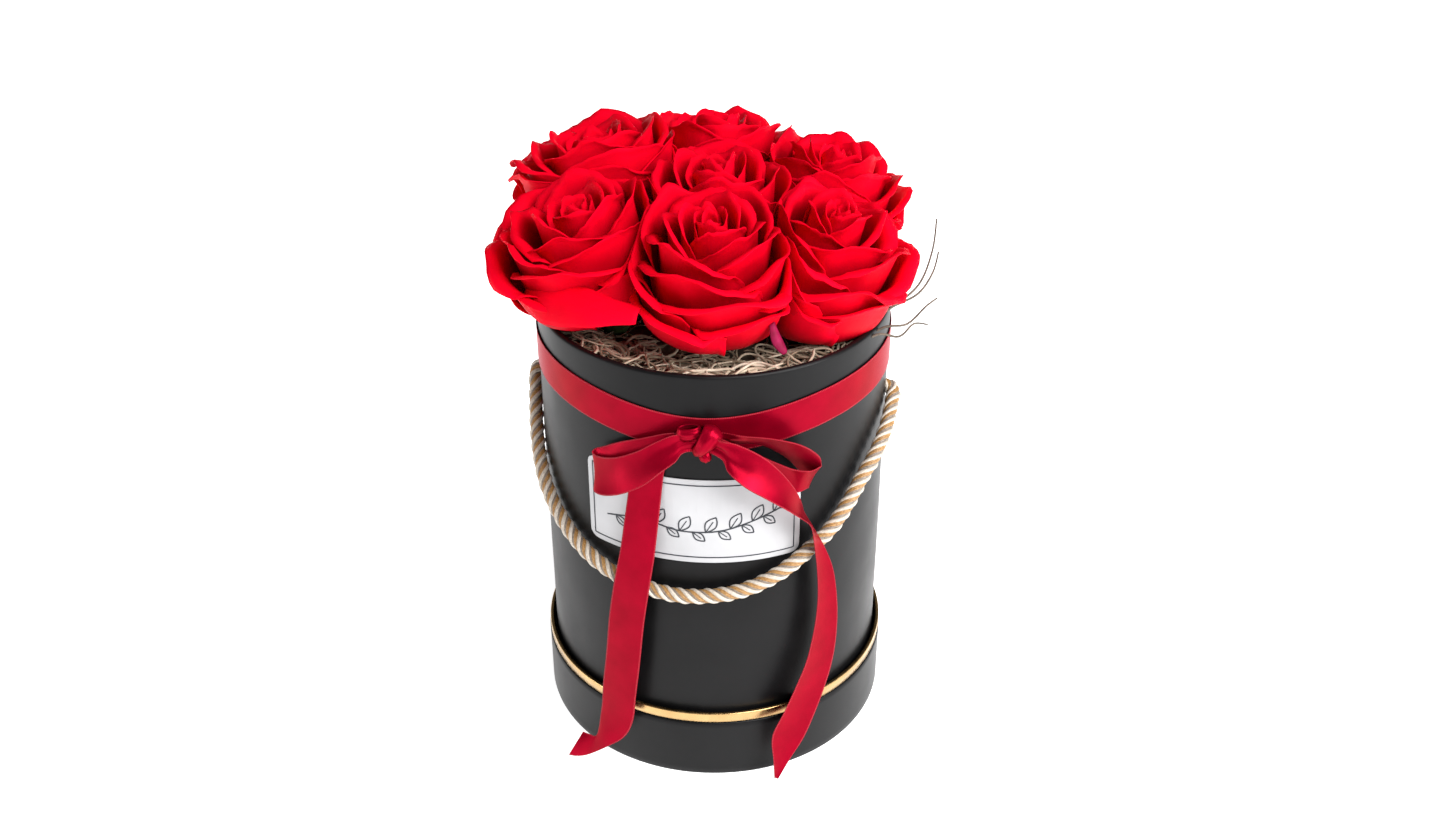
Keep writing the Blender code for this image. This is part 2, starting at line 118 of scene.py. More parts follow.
# Threads of one of the rope's three strands: kind, turn, distance from the middle and radius
ROPE_THREADS = (
    ("cream", 0.0, 2.5, 0.85),
    ("gold", 31.0, 2.1, 0.78),
    ("gold", 53.0, 2.15, 0.78),
    ("beige", 75.0, 2.05, 0.76),
    ("beige", 95.0, 1.95, 0.72),
)

# Roses: name, (angle, reach and height of the middle of the bud, lean outwards in degrees), and
# how far the outermost ring of petals sits off the bud's axis
ROSES = (
    ("centre", (97.0, 2.6, 264.0, 0.0), (-2.0, 0.0, 0.0)),
    ("front", (6.8, 42.5, 260.0, 12.0), (0.0, 0.0, 0.0)),
    ("front_right", (71.3, 57.9, 255.0, 14.0), (-6.0, 0.0, 0.0)),
    ("back_right", (125.9, 60.6, 255.0, 14.0), (-3.0, 0.0, 7.0)),
    ("back", (182.5, 56.0, 259.0, 14.0), (-6.0, 0.0, 5.0)),
    ("back_left", (243.8, 57.7, 260.0, 14.0), (-7.0, 0.0, 11.0)),
    ("front_left", (-61.2, 57.6, 255.0, 14.0), (-6.0, 0.0, 4.0)),
)
LOOP_LEFT = (
    ((-0.8, 81.0, 182.5), (-0.6, 83.0, 175.0)),
    ((-4.0, 82.0, 182.0), (-2.5, 85.5, 172.0)),
    ((-8.5, 83.0, 178.5), (-6.0, 88.0, 168.0)),
    ((-13.5, 84.0, 173.5), (-10.5, 89.5, 161.5)),
    ((-20.0, 83.8, 168.0), (-16.5, 90.0, 155.5)),
    ((-26.5, 81.8, 164.0), (-22.0, 89.0, 151.5)),
    ((-30.4, 79.8, 163.0), (-26.0, 87.0, 150.0)),
    ((-30.2, 78.0, 164.0), (-27.2, 84.0, 150.5)),
    ((-27.5, 77.4, 166.0), (-25.5, 81.5, 151.5)),
    ((-21.5, 77.4, 171.0), (-20.0, 80.3, 156.0)),
    ((-14.0, 77.8, 175.8), (-13.0, 80.0, 162.0)),
    ((-6.0, 78.4, 180.5), (-5.5, 80.0, 169.0)),
    ((-0.6, 79.2, 182.0), (-0.4, 79.9, 175.0)),
)
LOOP_RIGHT = (
    ((10.0, 79.0, 182.5), (9.8, 78.0, 176.0)),
    ((16.0, 84.5, 183.8), (13.5, 77.4, 176.0)),
    ((22.8, 86.8, 182.8), (20.8, 77.2, 174.6)),
    ((31.0, 86.5, 177.0), (28.5, 77.4, 167.6)),
    ((36.8, 85.5, 169.0), (34.2, 77.2, 157.8)),
    ((38.2, 84.8, 163.3), (36.8, 78.5, 150.0)),
    ((37.0, 86.0, 163.6), (35.2, 81.0, 151.0)),
    ((34.0, 86.4, 163.4), (32.0, 81.2, 150.6)),
    ((30.0, 84.6, 164.6), (28.0, 79.8, 152.2)),
    ((25.5, 82.6, 167.8), (23.5, 78.4, 156.6)),
    ((18.0, 80.8, 174.0), (16.5, 78.0, 163.8)),
    ((10.2, 81.6, 181.0), (10.0, 80.2, 175.5)),
)
TAIL_LEFT = (
    ((-0.8, 77.0, 178.5), (-0.6, 77.0, 172.0)),
    ((-10.5, 76.6, 175.5), (-4.5, 76.6, 166.0)),
    ((-16.5, 76.5, 168.0), (-7.0, 76.5, 162.0)),
    ((-18.2, 77.0, 155.0), (-7.9, 77.0, 153.5)),
    ((-19.2, 79.5, 140.0), (-8.6, 79.2, 140.0)),
    ((-20.3, 82.2, 122.0), (-9.6, 82.0, 122.0)),
    ((-22.1, 83.7, 106.0), (-11.0, 83.6, 106.0)),
    ((-24.3, 84.0, 86.0), (-13.0, 83.8, 86.0)),
    ((-26.1, 84.0, 64.0), (-14.7, 83.8, 64.0)),
    ((-27.8, 84.0, 46.0), (-16.4, 84.0, 44.0)),
    ((-28.6, 84.0, 34.0), (-17.5, 84.5, 30.0)),
    ((-29.3, 84.3, 26.0), (-20.2, 85.6, 20.0)),
    ((-29.8, 85.0, 18.5), (-25.5, 87.6, 12.0)),
    ((-30.5, 86.2, 13.4), (-31.8, 88.8, 3.0)),
    ((-33.0, 87.2, 13.0), (-34.8, 91.8, 1.0)),
    ((-34.9, 87.7, 12.8), (-37.1, 94.0, 0.8)),
)
TAIL_RIGHT = (
    ((10.0, 84.6, 182.0), (10.0, 84.8, 173.5)),
    ((14.0, 85.0, 180.5), (11.5, 89.0, 170.0)),
    ((20.6, 85.0, 174.0), (15.5, 91.8, 164.5)),
    ((25.5, 85.2, 166.0), (20.8, 92.0, 158.0)),
    ((29.5, 85.0, 157.0), (25.8, 91.8, 151.5)),
    ((32.5, 83.2, 148.0), (29.4, 91.0, 146.0)),
    ((35.3, 79.5, 138.5), (31.8, 91.2, 142.5)),
    ((37.8, 79.6, 131.5), (33.8, 90.0, 138.0)),
    ((40.7, 83.6, 121.0), (35.8, 86.5, 129.0)),
    ((43.6, 84.0, 110.0), (37.4, 85.5, 116.0)),
    ((45.3, 84.2, 98.5), (38.4, 85.0, 103.5)),
    ((46.5, 84.2, 82.5), (38.7, 84.6, 91.5)),
    ((46.3, 84.2, 66.0), (37.8, 84.6, 78.0)),
    ((44.8, 84.2, 53.0), (35.6, 84.8, 63.0)),
    ((42.2, 84.5, 42.0), (32.0, 85.2, 50.0)),
    ((39.0, 85.3, 32.0), (28.3, 86.0, 38.5)),
    ((35.0, 86.2, 20.6), (24.6, 87.0, 27.0)),
    ((30.0, 87.6, 11.4), (24.9, 88.0, 13.0)),
    ((26.2, 88.9, 2.6), (25.1, 88.9, 3.6)),
)
ROPE_ROUTE = (
    (-91.0, 70.7, 164.4),
    (-90.0, 73.6, 163.0),
    (-89.6, 75.6, 162.2),
    (-88.8, 77.7, 161.1),
    (-87.5, 78.9, 158.7),
    (-85.4, 78.6, 155.4),
    (-82.0, 78.4, 149.6),
    (-74.0, 78.3, 138.2),
    (-64.6, 78.6, 129.6),
    (-58.4, 78.6, 123.6),
    (-50.0, 78.6, 117.4),
    (-40.5, 78.8, 111.8),
    (-31.0, 79.3, 107.4),
    (-20.0, 79.3, 103.6),
    (-8.0, 79.3, 101.7),
    (1.0, 79.3, 101.4),
    (11.0, 79.3, 102.8),
    (19.0, 79.3, 105.4),
    (27.0, 79.3, 109.8),
    (34.0, 79.3, 115.2),
    (45.0, 79.3, 124.0),
    (52.0, 79.0, 131.6),
    (59.0, 78.8, 140.2),
    (66.0, 79.5, 147.4),
    (74.0, 79.3, 153.6),
    (80.0, 78.8, 157.4),
    (84.0, 78.6, 159.8),
    (87.0, 78.6, 161.4),
    (88.8, 77.3, 162.3),
    (89.6, 75.4, 162.7),
    (90.0, 73.6, 163.0),
    (91.4, 70.7, 163.8),
)

# Loose strands of moss that stand out over the rim, from their root outwards
WISPS = (
    ((74.0, 66.0, 200.0), (82.0, 76.0, 206.0), (90.0, 86.0, 212.0),
     (95.0, 91.0, 224.0), (96.0, 92.0, 238.0)),
    ((78.0, 66.0, 200.0), (84.0, 76.0, 205.0), (91.0, 86.0, 207.0),
     (96.0, 92.0, 213.0), (97.0, 94.0, 222.0)),
    ((66.0, 68.0, 198.0), (72.0, 77.0, 204.0), (79.0, 84.0, 202.0),
     (84.0, 90.0, 207.0), (88.0, 94.0, 208.0)),
    ((60.0, 69.0, 197.0), (68.0, 76.0, 203.0), (76.0, 82.0, 198.0),
     (82.0, 86.0, 200.0), (86.0, 91.0, 197.0)),
)


# ---- helpers


def place(angle, radius, height):
    """A point round the box, in metres."""
    turn = math.radians(angle)
    return Vector((radius * math.sin(turn), -radius * math.cos(turn), height)) * MM


def through(values, samples):
    """A smooth curve through the points, with this many steps between two of them."""
    found = []
    last = len(values) - 1
    for i in range(last):
        before, here = values[max(i - 1, 0)], values[i]
        there, after = values[i + 1], values[min(i + 2, last)]
        for step in range(samples):
            t = step / samples
            first = (there - before) * t
            second = (2 * before - 5 * here + 4 * there - after) * t**2
            third = (3 * here - before - 3 * there + after) * t**3
            found.append(0.5 * (2 * here + first + second + third))
    found.append(values[last])
    return found


def run_along(points):
    """Distance of each point from the first, along the line."""
    steps = np.linalg.norm(np.diff(points, axis=0), axis=1)
    return np.concatenate([[0.0], np.cumsum(steps)])


def spaced(points, spacing):
    """Points along the line, evenly apart and about this many millimetres from each other."""
    points = np.array([list(p) for p in points])
    along = run_along(points)
    want = np.linspace(0.0, along[-1], round(along[-1] / (spacing * MM)) + 1)
    return [Vector(p) for p in zip(*(np.interp(want, along, axis) for axis in points.T))]


def add_object(name, data):
    made = bpy.data.objects.new(name, data)
    bpy.context.scene.collection.objects.link(made)
    return made


def unit(vectors):
    return vectors / (np.linalg.norm(vectors, axis=-1, keepdims=True) + 1e-12)


def uv_grid(across, along):
    """A UV place for each point of a grid, from its columns' and its rows' values."""
    return np.stack(np.meshgrid(across, along), 2)


def smooth_step(x, low, high):
    """0 below low and 1 above high, with an even slope at both."""
    t = np.clip((np.asarray(x, float) - low) / (high - low), 0.0, 1.0)
    return t * t * (3.0 - 2.0 * t)


class Sheets:
    """Collects grids of points into one mesh, with a UV map in (across, along) shares."""

    def __init__(self):
        self.points = []
        self.faces = []
        self.uvs = []
        self.slots = []
        self.edge = []

    def add(self, grid, closed_rows=False, closed_columns=False, slot=0, uv=None, edge=None):
        """grid is an array of (rows, columns, 3) in metres."""
        rows, columns = grid.shape[:2]
        base = sum(len(p) for p in self.points)
        self.points.append(grid.reshape(-1, 3))
        if uv is None:
            uv = uv_grid(np.linspace(0, 1, columns), np.linspace(0, 1, rows))
        if edge is None:
            edge = np.zeros((rows, columns))
        self.edge.append(edge.reshape(-1))
        for i in range(rows if closed_rows else rows - 1):
            for j in range(columns if closed_columns else columns - 1):
                nexti, nextj = (i + 1) % rows, (j + 1) % columns
                corners = ((i, j), (i, nextj), (nexti, nextj), (nexti, j))
                self.faces.append([base + row * columns + column for row, column in corners])
                for row, column in corners:
                    across, along = uv[row, column]
                    self.uvs.append((1.0 if column < j else across, 1.0 if row < i else along))
                self.slots.append(slot)

    def build(self, name, materials, thickness=0.0, offset=0.0):
        mesh = bpy.data.meshes.new(name)
        points = np.concatenate(self.points)
        mesh.from_pydata(points.tolist(), [], self.faces)
        layer = mesh.uv_layers.new(name="UVMap")
        layer.data.foreach_set("uv", np.array(self.uvs, np.float32).reshape(-1))
        mesh.polygons.foreach_set("material_index", self.slots)
        # edge: how near each point lies to an edge; the petals use it as the mask of their painted
        # shade.
        edge = mesh.attributes.new("edge", "FLOAT", "POINT")
        edge.data.foreach_set("value", np.concatenate(self.edge).astype(np.float32))
        mesh.polygons.foreach_set("use_smooth", [True] * len(mesh.polygons))
        mesh.update()
        piece = add_object(name, mesh)
        for finish in materials:
            mesh.materials.append(finish)
        if thickness:
            solid = piece.modifiers.new("Thickness", "SOLIDIFY")
            solid.thickness = thickness * MM
            solid.offset = offset
            solid.use_even_offset = False
        return piece


def tube_grid(path, radius, sides):
    """Rings round a path. radius is one number or one for each point, in millimetres."""
    points = np.array([list(p) for p in path])
    ahead = unit(np.gradient(points, axis=0))
    side = np.cross(ahead[0], (0.0, 0.0, 1.0))
    if np.linalg.norm(side) < 1e-3:
        side = np.cross(ahead[0], (1.0, 0.0, 0.0))
    radii = np.broadcast_to(np.asarray(radius, float), (len(points),)) * MM
    angles = np.linspace(0.0, math.tau, sides, endpoint=False)
    rings = []
    for point, direction, size in zip(points, ahead, radii):
        side = unit(side - direction * side.dot(direction))
        up = np.cross(direction, side)
        ring = point + size * (np.cos(angles)[:, None] * side + np.sin(angles)[:, None] * up)
        rings.append(ring)
    return np.array(rings)


def arc(radius, height, size, turns):
    """Profile points on a small arc: degrees from its inner side, over the top."""
    ways = [(math.cos(math.radians(turn)), math.sin(math.radians(turn))) for turn in turns]
    return [(radius - size * x, height + size * y) for x, y in ways]


def lathe(profile, segments):
    """A grid of points from a profile of (radius, height), turned round Z."""
    turns = np.linspace(0.0, math.tau, segments, endpoint=False)
    grid = np.zeros((len(profile), segments, 3))
    for i, (radius, height) in enumerate(profile):
        grid[i, :, 0] = radius * np.sin(turns)
        grid[i, :, 1] = -radius * np.cos(turns)
        grid[i, :, 2] = height
    return grid * MM


# ---- materials


class Shader:
    """A material's node tree, with short names for the nodes that are used here."""

    def __init__(self, name):
        self.material = bpy.data.materials.new(name)
        self.material.use_nodes = True
        self.tree = self.material.node_tree
        self.surface = self.tree.nodes["Principled BSDF"]

    def feed(self, socket, value):
        """Links the value if it comes from a node, and sets it otherwise."""
        if hasattr(value, "is_output"):
            self.tree.links.new(value, socket)
        else:
            socket.default_value = value

    def node(self, kind, **inputs):
        made = self.tree.nodes.new(kind)
        for key, value in inputs.items():
            self.feed(made.inputs[key.replace("_", " ")], value)
        return made

    def set(self, **values):
        for key, value in values.items():
            self.feed(self.surface.inputs[key.replace("_", " ")], value)

    def place(self, uv=False, scale=(1.0, 1.0, 1.0)):
        """Coordinates on the piece: metres, or its UV map."""
        where = self.tree.nodes.new("ShaderNodeTexCoord").outputs["UV" if uv else "Object"]
        return self.node("ShaderNodeMapping", Vector=where, Scale=scale).outputs[0]

    def noise(self, where, scale, detail=3.0, roughness=0.5):
        made = self.node(
            "ShaderNodeTexNoise", Vector=where, Scale=scale, Detail=detail, Roughness=roughness
        )
        return made.outputs["Fac"]

    def ramp(self, value, *stops):
        made = self.node("ShaderNodeValToRGB", Fac=value)
        while len(made.color_ramp.elements) < len(stops):
            made.color_ramp.elements.new(0.5)
        for element, (at, colour) in zip(made.color_ramp.elements, stops):
            element.position = at
            element.color = (*colour, 1.0)
        return made.outputs["Color"]

    def mix(self, share, first, second):
        made = self.tree.nodes.new("ShaderNodeMix")
        made.data_type = "RGBA"
        for at, value in ((0, share), (6, first), (7, second)):
            self.feed(made.inputs[at], (*value, 1.0) if isinstance(value, tuple) else value)
        return made.outputs[2]

    def span(self, value, low, high, to_low, to_high):
        made = self.tree.nodes.new("ShaderNodeMapRange")
        for socket, given in zip(made.inputs, (value, low, high, to_low, to_high)):
            self.feed(socket, given)
        return made.outputs[0]

    def bump(self, height, strength, distance):
        made = self.node("ShaderNodeBump", Height=height, Strength=strength, Distance=distance)
        self.feed(self.surface.inputs["Normal"], made.outputs[0])

    def shades(self, where, scale, detail, dark, light):
        """A colour that drifts between two shades."""
        return self.ramp(self.noise(where, scale, detail), (0.3, dark), (0.7, light))


def black_paper():
    made = Shader("black_paper_look")
    where = made.place()
    cloudy = made.noise(where, 35.0, 4.0, 0.6)
    grain = made.noise(where, 2600.0, 2.0, 0.6)
    scuffs = made.noise(made.place(scale=(1.0, 1.0, 3.0)), 160.0, 5.0, 0.7)
    colour = made.ramp(cloudy, (0.3, (0.0032, 0.0031, 0.0034)), (0.7, (0.0052, 0.0051, 0.0056)))
    dusty = made.mix(made.span(scuffs, 0.7, 0.86, 0.0, 0.5), colour, (0.03, 0.03, 0.031))
    made.set(
        Base_Color=dusty,
        Roughness=made.span(cloudy, 0.3, 0.7, 0.34, 0.42),
        IOR=1.35,
        Specular_IOR_Level=0.24,
    )
    made.bump(grain, 0.12, 0.00004)
    return made.material


def gold_foil():
    made = Shader("gold_foil_look")
    where = made.place()
    made.set(
        Base_Color=made.shades(where, 60.0, 3.0, (0.43, 0.265, 0.11), (0.54, 0.36, 0.16)),
        Metallic=1.0,
        Roughness=made.span(made.noise(where, 400.0, 3.0), 0.3, 0.7, 0.2, 0.34),
    )
    made.bump(made.noise(made.place(scale=(1.0, 1.0, 0.3)), 300.0, 3.0), 0.08, 0.0002)
    return made.material


def label_paper():
    made = Shader("label_paper_look")
    where = made.place()
    fibres = made.noise(made.place(scale=(1.0, 1.0, 4.0)), 900.0, 3.0, 0.6)
    made.set(
        Base_Color=made.shades(where, 60.0, 2.0, (0.43, 0.43, 0.442), (0.48, 0.48, 0.493)),
        Roughness=made.span(fibres, 0.3, 0.7, 0.36, 0.5),
        Specular_IOR_Level=0.4,
    )
    made.bump(fibres, 0.1, 0.00004)
    return made.material


def ink():
    made = Shader("ink_look")
    worn = made.noise(made.place(), 900.0, 2.0)
    colour = made.ramp(worn, (0.35, (0.012, 0.015, 0.022)), (0.75, (0.03, 0.036, 0.046)))
    made.set(Base_Color=colour, Roughness=0.5)
    return made.material


def foam_look():
    made = Shader("foam_look")
    where = made.place()
    cells = made.node("ShaderNodeTexVoronoi", Vector=where, Scale=900.0).outputs["Distance"]
    colour = made.shades(where, 90.0, 3.0, (0.11, 0.17, 0.07), (0.17, 0.25, 0.11))
    made.set(Base_Color=colour, Roughness=0.95, Specular_IOR_Level=0.1)
    made.bump(cells, 0.5, 0.0003)
    return made.material


def moss_look(name, dark, light):
    made = Shader(name)
    where = made.place()
    patchy = made.noise(where, 120.0, 4.0, 0.65)
    colour = made.ramp(patchy, (0.3, dark), (0.66, light))
    made.set(Base_Color=colour, Roughness=0.8, Specular_IOR_Level=0.25)
    made.bump(made.noise(where, 2500.0, 2.0), 0.5, 0.0002)
    return made.material


def petal_look():
    """Velvety red with fine veins, brighter at the thin edges; away from them a darker red, which
    is painted shade where the petals lie deep among the others and partly the rose's own deeper
    red low down.
    """
    made = Shader("petal_look")
    uv = made.place(uv=True, scale=(46.0, 2.5, 1.0))
    veins = made.noise(uv, 1.0, 4.0, 0.6)
    blotches = made.noise(made.place(), 70.0, 3.0, 0.5)
    # Painted shade: the deep red darkens the petals away from their edges, where they lie among
    # the others; partly it is the rose's own deeper red low down.
    deep = made.ramp(blotches, (0.25, (0.3, 0.0002, 0.004)), (0.75, (0.4, 0.0003, 0.006)))
    bright = made.ramp(blotches, (0.25, (0.66, 0.0004, 0.011)), (0.75, (0.78, 0.0006, 0.016)))
    edge = made.node("ShaderNodeAttribute")
    edge.attribute_name = "edge"
    painted_shade_red = made.mix(made.span(edge.outputs["Fac"], 0.08, 0.62, 0.0, 1.0), deep, bright)
    made.set(
        Base_Color=painted_shade_red,
        Roughness=0.6,
        Specular_IOR_Level=0.1,
        Specular_Tint=(1.0, 0.1, 0.15, 1.0),
        Subsurface_Weight=0.08,
        Subsurface_Radius=(0.004, 0.0006, 0.0006),
        Subsurface_Scale=1.0,
    )
    made.bump(veins, 0.25, 0.0003)
    return made.material


def pink_petal_look():
    made = Shader("pink_petal_look")
    colour = made.shades(made.place(), 200.0, 3.0, (0.14, 0.0006, 0.02), (0.27, 0.003, 0.055))
    made.set(Base_Color=colour, Roughness=0.6, Specular_IOR_Level=0.15)
    made.bump(made.noise(made.place(), 900.0), 0.3, 0.0002)
    return made.material


def leaf_look():
    made = Shader("leaf_look")
    where = made.place()
    colour = made.shades(where, 150.0, 3.0, (0.03, 0.07, 0.02), (0.08, 0.14, 0.04))
    made.set(Base_Color=colour, Roughness=0.6)
    made.bump(made.noise(where, 900.0), 0.3, 0.0002)
    return made.material


def satin_look():
    """Satin: a fine cross weave and a soft stretched highlight."""
    made = Shader("satin_look")
    uv = made.place(uv=True)
    weave = made.node("ShaderNodeTexWave", Vector=uv, Scale=18.0, Distortion=0.6)
    body = made.shades(made.place(), 90.0, 3.0, (0.215, 0.0003, 0.0095), (0.27, 0.0005, 0.0125))
    made.set(
        Base_Color=body,
        Metallic=0.5,
        Roughness=0.28,
        IOR=1.25,
        Specular_IOR_Level=0.3,
        Specular_Tint=(1.0, 0.35, 0.4, 1.0),
        Anisotropic=0.6,
    )
    made.bump(weave.outputs["Fac"], 0.12, 0.00005)
    return made.material


def picot_look():
    """The ribbon's edge: a row of dots along it, paler in colour as painted highlights on the
    picot loops.
    """
    made = Shader("satin_edge_painted_highlight_look")
    dots = made.node("ShaderNodeTexWave", Vector=made.place(uv=True), Scale=0.42)
    dots.bands_direction = "Y"
    # Painted highlight: the paler stop stands for the glints on the picot dots; their relief comes
    # from the bump.
    stops = (0.35, (0.22, 0.0006, 0.01)), (0.75, (0.4, 0.012, 0.028))
    colour = made.ramp(dots.outputs["Fac"], *stops)
    made.set(Base_Color=colour, Roughness=0.45, IOR=1.35, Specular_IOR_Level=0.25)
    made.bump(dots.outputs["Fac"], 0.6, 0.0003)
    return made.material


def thread_look(name, dark, light):
    """Shiny thread: fine fibres that run along the strand."""
    made = Shader(name)
    uv = made.place(uv=True, scale=(9.0, 55.0, 1.0))
    fibres = made.noise(uv, 1.0, 4.0, 0.7)
    colour = made.ramp(fibres, (0.3, dark), (0.68, light))
    made.set(Base_Color=colour, Roughness=0.38, Specular_IOR_Level=0.4)
    made.bump(fibres, 0.5, 0.0003)
    return made.material


def floor_look():
    made = Shader("floor_look")
    made.set(
        Base_Color=made.shades(made.place(), 3.0, 2.0, (0.9, 0.9, 0.9), (0.93, 0.93, 0.93)),
        Roughness=0.7,
        Specular_IOR_Level=0.2,
        Emission_Color=(1.0, 1.0, 1.0, 1.0),
        Emission_Strength=FLOOR_GLOW,
    )
    return made.material


# ---- box, lid and label


def cut_bore(piece, radius, height):
    """Cuts a round hole along X through the piece, at this height."""
    form = bmesh.new()
    bmesh.ops.create_cone(
        form,
        cap_ends=True,
        segments=40,
        radius1=radius * MM,
        radius2=radius * MM,
        depth=4 * BOX_RADIUS * MM,
    )
    mesh = bpy.data.meshes.new("bore")
    form.to_mesh(mesh)
    form.free()
    cutter = add_object("bore", mesh)
    cutter.rotation_euler = (0.0, math.radians(90), 0.0)
    cutter.location = (0.0, 0.0, height * MM)
    boolean = piece.modifiers.new("Bore", "BOOLEAN")
    boolean.operation = "DIFFERENCE"
    boolean.solver = "EXACT"
    boolean.object = cutter
    bpy.context.view_layer.update()
    graph = bpy.context.evaluated_depsgraph_get()
    cut = bpy.data.meshes.new_from_object(piece.evaluated_get(graph))
    piece.modifiers.clear()
    piece.data = cut
    bpy.data.objects.remove(cutter, do_unlink=True)


def make_box(paper):
    """The paper-covered tube: rolled rim, a lapped seam at the front, and slight creases."""
    inner = BOX_RADIUS - BOX_WALL
    half = BOX_WALL / 2
    rim = arc(BOX_RADIUS - half, BOX_TOP - half, half, range(0, 181, 15))
    heights = np.linspace(BOX_TOP - 2 * half, BOX_BOTTOM, 60)
    profile = [(inner, BOX_BOTTOM), *[(inner, h) for h in heights[::-6][1:-1]], *rim]
    profile += [(BOX_RADIUS, h) for h in heights]
    grid = lathe(profile, ROUND)
    angle = np.degrees(np.arctan2(grid[..., 0], -grid[..., 1]))
    radius = np.hypot(grid[..., 0], grid[..., 1])
    lap = 0.14 * MM * smooth_step(angle, 2.2, 3.0) * (1.0 - smooth_step(angle, 3.0, 60.0))
    outside = radius > (BOX_RADIUS - half) * MM
    dents = np.zeros(angle.shape)
    for i, row in enumerate(grid):
        for j, point in enumerate(row):
            where = Vector(point)
            dents[i, j] = noise.noise(where * 28.0) + 0.4 * noise.noise(where * 90.0)
    swell = outside * (lap + 0.18 * MM * dents)
    grid[..., 0] *= 1.0 + swell / radius
    grid[..., 1] *= 1.0 + swell / radius
    sheets = Sheets()
    sheets.add(grid, closed_rows=True, closed_columns=True)
    tube = sheets.build("box_tube_paper", [paper])
    cut_bore(tube, ROPE_HOLE_DIAMETER / 2, ROPE_HOLE_HEIGHT)
    tube.data.polygons.foreach_set("use_smooth", [True] * len(tube.data.polygons))
    tube.data.set_sharp_from_angle(angle=math.radians(50))
    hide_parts("box_tube")
    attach(tube, "box")


def make_lid(paper, gold):
    """The lid's wall, and the foil lip with its rolled upper edge."""
    inner = LID_RADIUS - LID_WALL
    heights = np.linspace(LID_WALL_TOP - 0.5, 0.9, 12)
    wall = [(inner, 0.0), (inner, LID_WALL_TOP), (LID_RADIUS - 0.5, LID_WALL_TOP)]
    wall += [(LID_RADIUS, h) for h in heights]
    wall += [(LID_RADIUS - 0.25, 0.25), (LID_RADIUS - 0.9, 0.0)]
    sheets = Sheets()
    sheets.add(lathe(wall, ROUND), closed_rows=True, closed_columns=True)
    piece = sheets.build("lid_wall_paper", [paper])
    piece.data.set_sharp_from_angle(angle=math.radians(50))
    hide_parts("lid_wall")
    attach(piece, "lid")
    low = LID_WALL_TOP + GAP
    gold_inner = GOLD_RADIUS - GOLD_WALL
    edge = 0.55
    lip = [(gold_inner, low), (gold_inner, GOLD_TOP - edge)]
    lip += arc(gold_inner + edge, GOLD_TOP - edge, edge, range(15, 91, 15))
    lip += arc(GOLD_RADIUS - edge, GOLD_TOP - edge, edge, range(90, 181, 15))
    lip += [(GOLD_RADIUS, low + 0.3), (GOLD_RADIUS - 0.2, low)]
    grid = lathe(lip, ROUND)
    for row in grid:
        for point in row:
            where = Vector(point)
            wobble = 0.08 * noise.noise(where * 45.0) + 0.02 * noise.noise(where * 260.0)
            point[0:2] *= 1.0 + wobble / GOLD_RADIUS
    sheets = Sheets()
    sheets.add(grid, closed_rows=True, closed_columns=True)
    piece = sheets.build("lid_gold_lip", [gold])
    piece.data.set_sharp_from_angle(angle=math.radians(60))
    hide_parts("lid_gold_rim")
    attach(piece, "lid")


def on_label(x, z, lift):
    """A point over the label, x millimetres round the curve and z up from its middle."""
    radius = LABEL_OUTSIDE + lift
    return place(math.degrees(x / LABEL_OUTSIDE), radius, LABEL_MIDDLE + z)


def ink_line(sheets, points, width):
    """A flat printed line along (x, z) places on the label."""
    path = through([Vector((x, z)) for x, z in points], 6)
    rows = []
    for i, here in enumerate(path):
        ahead = path[min(i + 1, len(path) - 1)] - path[max(i - 1, 0)]
        across = Vector((-ahead.y, ahead.x)).normalized() * width / 2
        rows.append([on_label(*(here + across), INK_LIFT), on_label(*(here - across), INK_LIFT)])
    sheets.add(np.array(rows))


def leaf_outline(sheets, x, z, length, turn):
    """A small open leaf drawn with two arcs and a vein."""
    way = Vector((math.cos(turn), math.sin(turn)))
    side = Vector((-way.y, way.x))
    start = Vector((x, z))
    for bow in (1.0, -1.0):
        side_line = [
            start + way * length * share + side * bow * 0.27 * length * math.sin(math.pi * share)
            for share in (0.0, 0.25, 0.5, 0.75, 1.0)
        ]
        ink_line(sheets, side_line, LEAF_LINE)
    ink_line(sheets, [start, start + way * 0.35 * length, start + way * 0.7 * length], VEIN_LINE)


def make_label_print(dark):
    """A thin border and a plain leafy sprig: no lettering."""
    sheets = Sheets()
    half_width = LABEL_OUTSIDE * math.asin(LABEL_WIDTH / 2 / LABEL_OUTSIDE) - BORDER_INSET
    half_height = LABEL_HEIGHT / 2 - BORDER_INSET
    signs = ((-1, -1), (1, -1), (1, 1), (-1, 1))
    border = [Vector((x * half_width, z * half_height)) for x, z in signs]
    for a, b in zip(border, border[1:] + border[:1]):
        ink_line(sheets, [a.lerp(b, step / 24) for step in range(25)], BORDER_LINE)
    stem = [(-37.0, -5.5), (-20.0, -2.0), (-4.0, -5.0), (12.0, -4.5), (26.0, -0.5), (38.0, 4.0)]
    ink_line(sheets, stem, STEM_LINE)
    curve = through([Vector(p) for p in stem], 6)
    for i in range(2, len(curve) - 1, 2):
        length, turn = (8.6, 1.05) if i % 4 == 0 else (6.6, -0.7)
        leaf_outline(sheets, curve[i].x, curve[i].y, length, turn)
    leaf_outline(sheets, stem[-1][0] - 0.4, stem[-1][1] - 0.2, 4.4, 0.5)
    piece = sheets.build("label_sprig_print", [dark], thickness=0.06, offset=1.0)
    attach(piece, "box")


# ---- ribbon


